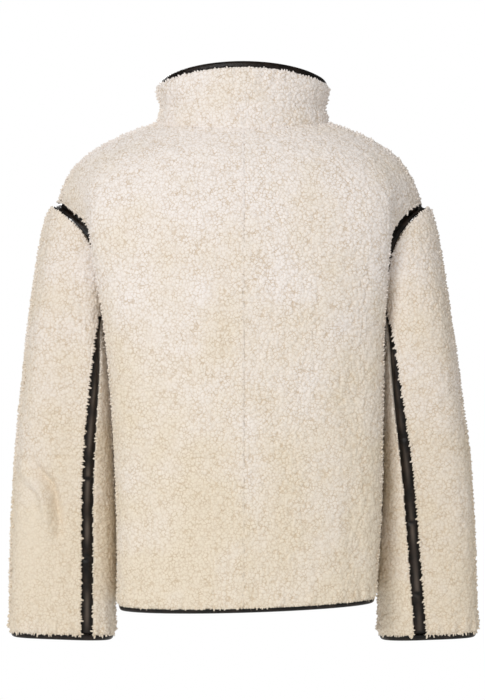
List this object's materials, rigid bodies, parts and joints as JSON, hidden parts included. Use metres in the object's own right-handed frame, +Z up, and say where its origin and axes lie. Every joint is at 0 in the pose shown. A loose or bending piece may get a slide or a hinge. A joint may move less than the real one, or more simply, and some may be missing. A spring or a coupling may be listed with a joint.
{
  "type": "sherpa jacket",
  "caption": "Zipped cream sherpa jacket in its worn, hollow shape, with a stand collar, drop shoulders, and leather bands, strips and bindings.",
  "frame": {"origin": "between the shoulders at the base of the neck, where the wearer's shoulders carry the jacket", "axes": "+Z up; the front faces -Y; +X is the wearer's left, which is the left of a view from behind"},
  "size_m": [0.5931, 0.2705, 0.7228],
  "materials": {
    "pile": "cream boucle pile in small uneven nubs on a knitted backing",
    "leather": "soft near-black leather with a low sheen",
    "tape": "black woven zip tape",
    "metal": "dark satin plated metal"
  },
  "bodies": {
    "jacket": {"back_left": "pile", "back_right": "pile", "front_left": "pile", "front_right": "pile", "sleeve_left_upper": "pile", "sleeve_left_under": "pile", "sleeve_right_upper": "pile", "sleeve_right_under": "pile", "collar": "pile", "sleeve_strip_left": "leather", "sleeve_strip_right": "leather", "armhole_band_left": "leather", "armhole_band_right": "leather", "cuff_binding_left": "leather", "cuff_binding_right": "leather", "collar_binding": "leather", "hem_binding": "leather", "front_edge_binding_left": "leather", "front_edge_binding_right": "leather", "zip_tape_left": "tape", "zip_tape_right": "tape", "zip_slider": "metal"},
    "pull_tab": {"zip_pull_tab": "metal"}
  },
  "joints": [
    {"name": "pull_tab_swing", "type": "hinge", "parent": "jacket", "child": "pull_tab", "pos_m": [0, -0.0845, -0.0155], "axis": [-1, 0, 0], "range_deg": [0, 165]}
  ]
}
